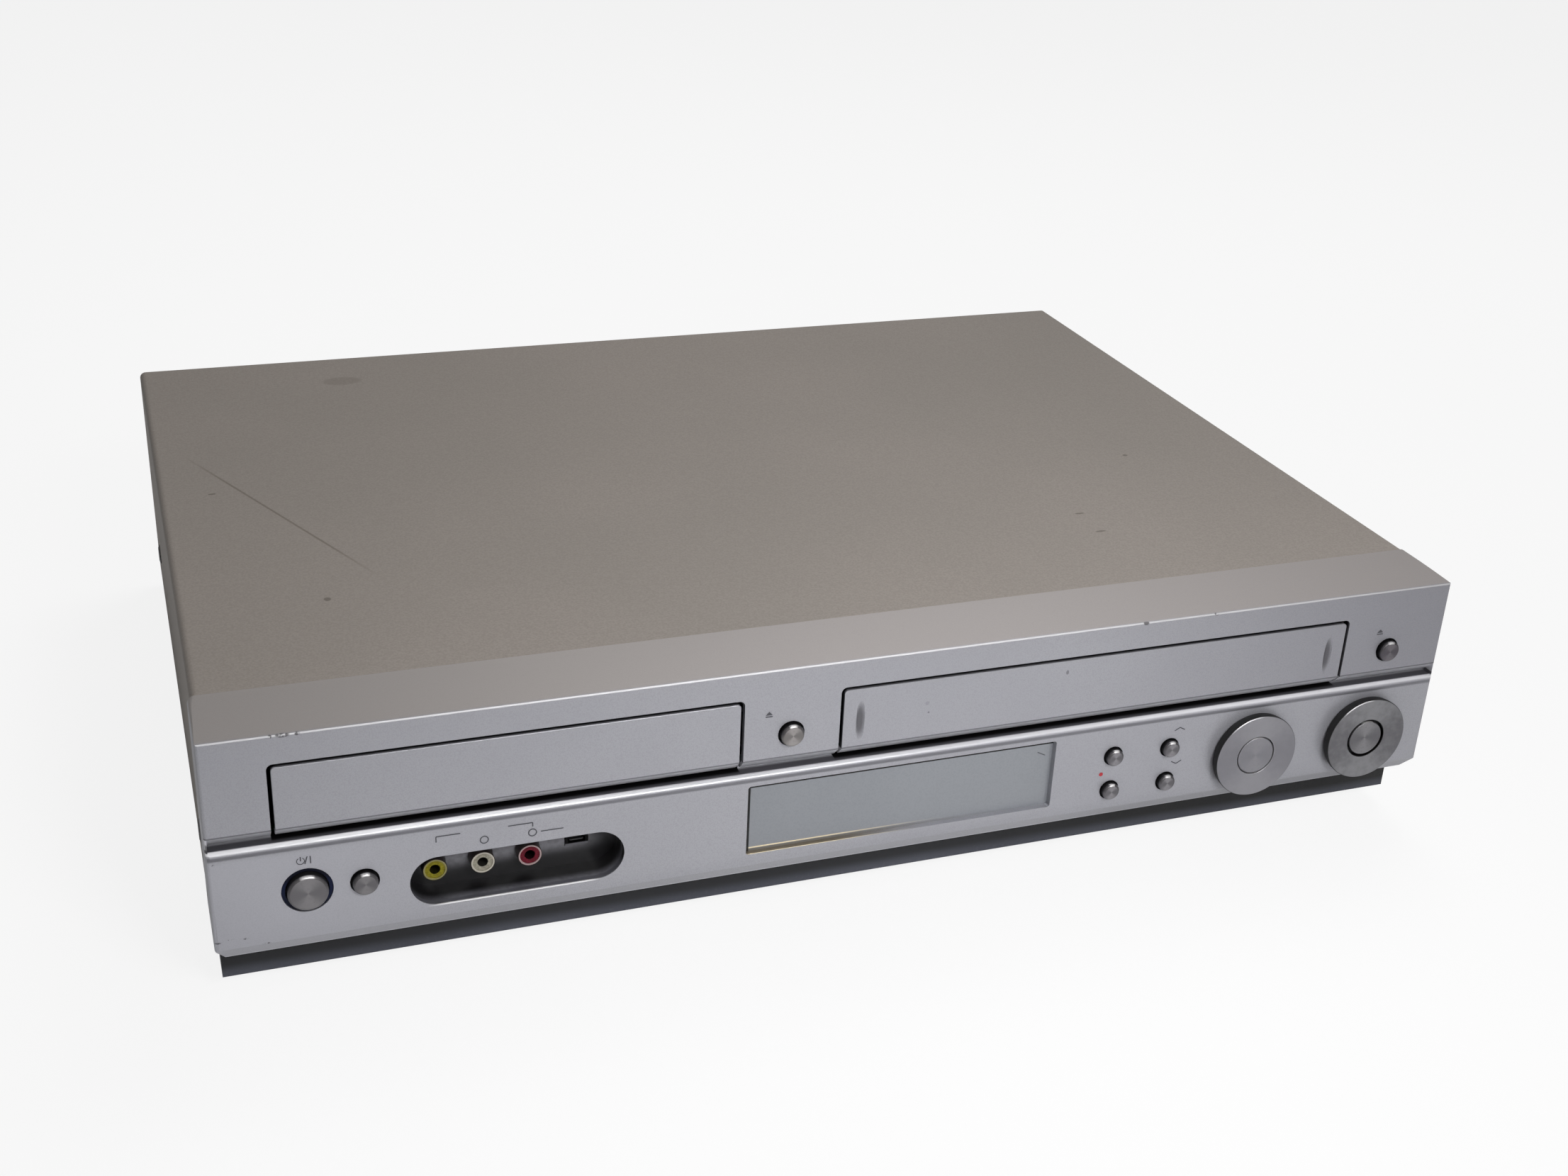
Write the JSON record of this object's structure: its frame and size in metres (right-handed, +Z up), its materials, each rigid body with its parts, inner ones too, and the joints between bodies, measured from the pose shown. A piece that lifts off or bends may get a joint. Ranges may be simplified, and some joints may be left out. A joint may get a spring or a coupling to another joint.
{
  "type": "DVD and VHS combination player",
  "caption": "Low silver player with a disc tray, a hinged cassette flap, round buttons, two control discs, a display window and a jack recess.",
  "frame": {"origin": "centre of the bounding box on the resting plane, under the feet", "axes": "+X to the right seen from the front, +Y from the front to the back, +Z up"},
  "size_m": [0.43, 0.334, 0.099],
  "materials": {
    "cover_paint": "satin taupe-grey paint",
    "plated_steel": "dark grey satin",
    "case_silver": "silver paint with fine flake",
    "foot_rubber": "matte",
    "dark_screw": "black zinc",
    "spring_wire": "drawn wire",
    "smoke_window": "smoke-tinted clear",
    "display_glass": "dark",
    "recess_grey": "dark silver",
    "jack_plastic": "yellow, cream and red",
    "black_plastic": "fine texture",
    "ring_blue": "translucent",
    "spun_metal": "spun metallised plastic",
    "natural_plastic": "natural",
    "circuit_board": "solder mask",
    "power_board": "paper laminate",
    "bright_steel": "zinc plated",
    "drum_aluminium": "turned",
    "pickup_metal": "die cast",
    "roller_rubber": "matte"
  },
  "bodies": {
    "case": {"top_cover": "cover_paint", "bottom_chassis": "plated_steel", "rear_panel": "plated_steel", "front_bezel": "case_silver", "feet": "foot_rubber", "cover_screws": "dark_screw", "flap_spring": "spring_wire", "display_window": "smoke_window", "display_module": "display_glass", "jack_recess": "recess_grey", "front_jacks": "jack_plastic", "camera_socket": "black_plastic", "power_ring": "ring_blue", "switch_boards": "circuit_board", "loader_frame": "black_plastic", "loading_motor": "bright_steel", "traverse_frame": "bright_steel", "clamp_bridge": "bright_steel", "deck_chassis": "bright_steel", "lift_housing": "bright_steel", "drum_base": "drum_aluminium", "tape_heads": "bright_steel", "circuit_boards": "circuit_board", "power_board": "power_board", "rear_sockets": "black_plastic", "antenna_unit": "bright_steel", "mains_inlet": "black_plastic", "cooling_fan": "black_plastic"},
    "disc_tray": {"tray_door": "case_silver", "disc_tray": "black_plastic"},
    "tray_gear": {"tray_gear": "natural_plastic"},
    "motor_gear": {"motor_gear": "natural_plastic"},
    "turntable": {"turntable": "black_plastic"},
    "disc_clamper": {"disc_clamper": "natural_plastic"},
    "pickup": {"pickup": "pickup_metal"},
    "cassette_flap": {"cassette_flap": "case_silver"},
    "cassette_carrier": {"cassette_carrier": "bright_steel"},
    "head_drum": {"head_drum": "drum_aluminium"},
    "supply_reel": {"supply_reel": "black_plastic"},
    "takeup_reel": {"takeup_reel": "black_plastic"},
    "capstan": {"capstan": "bright_steel"},
    "pinch_arm": {"pinch_arm": "bright_steel"},
    "pinch_roller": {"pinch_roller": "roller_rubber"},
    "left_tape_guide": {"left_tape_guide": "bright_steel"},
    "right_tape_guide": {"right_tape_guide": "bright_steel"},
    "power_button": {"power_button": "spun_metal"},
    "scan_button": {"scan_button": "spun_metal"},
    "tray_button": {"tray_button": "spun_metal"},
    "eject_button": {"eject_button": "spun_metal"},
    "source_button": {"source_button": "spun_metal"},
    "record_button": {"record_button": "spun_metal"},
    "channel_up_button": {"channel_up_button": "spun_metal"},
    "channel_down_button": {"channel_down_button": "spun_metal"},
    "jog_disc": {"jog_disc": "spun_metal"},
    "jog_button": {"jog_button": "spun_metal"},
    "menu_gimbal": {"menu_gimbal": "natural_plastic"},
    "menu_ring": {"menu_ring": "spun_metal"},
    "menu_button": {"menu_button": "spun_metal"},
    "fan_rotor": {"fan_rotor": "black_plastic"}
  },
  "joints": [
    {"name": "tray_slide", "type": "slide", "parent": "case", "child": "disc_tray", "axis": [0, -1, 0], "range_m": [0, 0.128]},
    {"name": "tray_gear_spin", "type": "hinge", "parent": "case", "child": "tray_gear", "pos_m": [-0.1726, -0.131, 0.0676], "axis": [0, 0, 1], "range_deg": [-5, 925]},
    {"name": "motor_gear_spin", "type": "hinge", "parent": "case", "child": "motor_gear", "pos_m": [-0.1526, -0.131, 0.0646], "axis": [0, 0, 1], "range_deg": [-3700, 20]},
    {"name": "turntable_spin", "type": "hinge", "parent": "case", "child": "turntable", "pos_m": [-0.1226, -0.095, 0.0756], "axis": [0, 0, 1], "continuous": true},
    {"name": "clamper_spin", "type": "hinge", "parent": "case", "child": "disc_clamper", "pos_m": [-0.1226, -0.095, 0.0836], "axis": [0, 0, 1], "continuous": true},
    {"name": "pickup_travel", "type": "slide", "parent": "case", "child": "pickup", "axis": [0, 1, 0], "range_m": [0, 0.034]},
    {"name": "flap_turn", "type": "hinge", "parent": "case", "child": "cassette_flap", "pos_m": [0.0787, -0.1582, 0.0928], "axis": [1, 0, 0], "range_deg": [0, 90], "stiffness_Nm_per_rad": 0.004, "springref_deg": -34.38},
    {"name": "carrier_travel", "type": "slide", "parent": "case", "child": "cassette_carrier", "axis": [0, 1, 0], "range_m": [0, 0.058]},
    {"name": "drum_spin", "type": "hinge", "parent": "case", "child": "head_drum", "pos_m": [0.0787, 0.069, 0.0361], "axis": [0, -0.1028, 0.9947], "continuous": true},
    {"name": "supply_spin", "type": "hinge", "parent": "case", "child": "supply_reel", "pos_m": [0.0322, -0.013, 0.0361], "axis": [0, 0, 1], "continuous": true},
    {"name": "takeup_spin", "type": "hinge", "parent": "case", "child": "takeup_reel", "pos_m": [0.1252, -0.013, 0.0361], "axis": [0, 0, 1], "continuous": true},
    {"name": "capstan_spin", "type": "hinge", "parent": "case", "child": "capstan", "pos_m": [0.1487, 0.037, 0.0361], "axis": [0, 0, 1], "continuous": true},
    {"name": "pinch_arm_turn", "type": "hinge", "parent": "case", "child": "pinch_arm", "pos_m": [0.1627, 0.015, 0.0361], "axis": [0, 0, 1], "range_deg": [-25, 0], "stiffness_Nm_per_rad": 0.02, "springref_deg": 5.73},
    {"name": "pinch_roller_spin", "type": "hinge", "parent": "pinch_arm", "child": "pinch_roller", "pos_m": [0.13906, 0.01917, 0.0361], "axis": [0, 0, 1], "continuous": true},
    {"name": "left_guide_travel", "type": "slide", "parent": "case", "child": "left_tape_guide", "axis": [-0.2588, 0.9659, 0], "range_m": [0, 0.044]},
    {"name": "right_guide_travel", "type": "slide", "parent": "case", "child": "right_tape_guide", "axis": [0.2588, 0.9659, 0], "range_m": [0, 0.044]},
    {"name": "power_press", "type": "slide", "parent": "case", "child": "power_button", "axis": [0, 1, 0], "range_m": [0, 0.0008], "stiffness_N_per_m": 800},
    {"name": "scan_press", "type": "slide", "parent": "case", "child": "scan_button", "axis": [0, 1, 0], "range_m": [0, 0.0008], "stiffness_N_per_m": 800},
    {"name": "tray_press", "type": "slide", "parent": "case", "child": "tray_button", "axis": [0, 1, 0], "range_m": [0, 0.0008], "stiffness_N_per_m": 800},
    {"name": "eject_press", "type": "slide", "parent": "case", "child": "eject_button", "axis": [0, 1, 0], "range_m": [0, 0.0008], "stiffness_N_per_m": 800},
    {"name": "source_press", "type": "slide", "parent": "case", "child": "source_button", "axis": [0, 1, 0], "range_m": [0, 0.0008], "stiffness_N_per_m": 800},
    {"name": "record_press", "type": "slide", "parent": "case", "child": "record_button", "axis": [0, 1, 0], "range_m": [0, 0.0008], "stiffness_N_per_m": 800},
    {"name": "channel_up_press", "type": "slide", "parent": "case", "child": "channel_up_button", "axis": [0, 1, 0], "range_m": [0, 0.0008], "stiffness_N_per_m": 800},
    {"name": "channel_down_press", "type": "slide", "parent": "case", "child": "channel_down_button", "axis": [0, 1, 0], "range_m": [0, 0.0008], "stiffness_N_per_m": 800},
    {"name": "jog_press", "type": "slide", "parent": "case", "child": "jog_button", "axis": [0, 1, 0], "range_m": [0, 0.0008], "stiffness_N_per_m": 800},
    {"name": "menu_press", "type": "slide", "parent": "case", "child": "menu_button", "axis": [0, 1, 0], "range_m": [0, 0.0008], "stiffness_N_per_m": 800},
    {"name": "jog_rock", "type": "hinge", "parent": "case", "child": "jog_disc", "pos_m": [0.1419, -0.1585, 0.0403], "axis": [0, 0, 1], "range_deg": [-2, 2], "stiffness_Nm_per_rad": 0.3},
    {"name": "menu_rock_sideways", "type": "hinge", "parent": "case", "child": "menu_gimbal", "pos_m": [0.1879, -0.1585, 0.0403], "axis": [0, 0, 1], "range_deg": [-1.5, 1.5], "stiffness_Nm_per_rad": 0.3},
    {"name": "menu_rock_upright", "type": "hinge", "parent": "menu_gimbal", "child": "menu_ring", "pos_m": [0.1879, -0.1585, 0.0403], "axis": [1, 0, 0], "range_deg": [-1.5, 1.5], "stiffness_Nm_per_rad": 0.3},
    {"name": "fan_spin", "type": "hinge", "parent": "case", "child": "fan_rotor", "pos_m": [-0.138, 0.1495, 0.046], "axis": [0, 1, 0], "continuous": true}
  ],
  "couplings": [
    {"joint": "tray_gear_spin", "follows": "tray_slide", "rad_per_m": 125},
    {"joint": "motor_gear_spin", "follows": "tray_slide", "rad_per_m": -500},
    {"joint": "clamper_spin", "follows": "turntable_spin", "ratio": 1},
    {"joint": "right_guide_travel", "follows": "left_guide_travel", "ratio": 1}
  ]
}
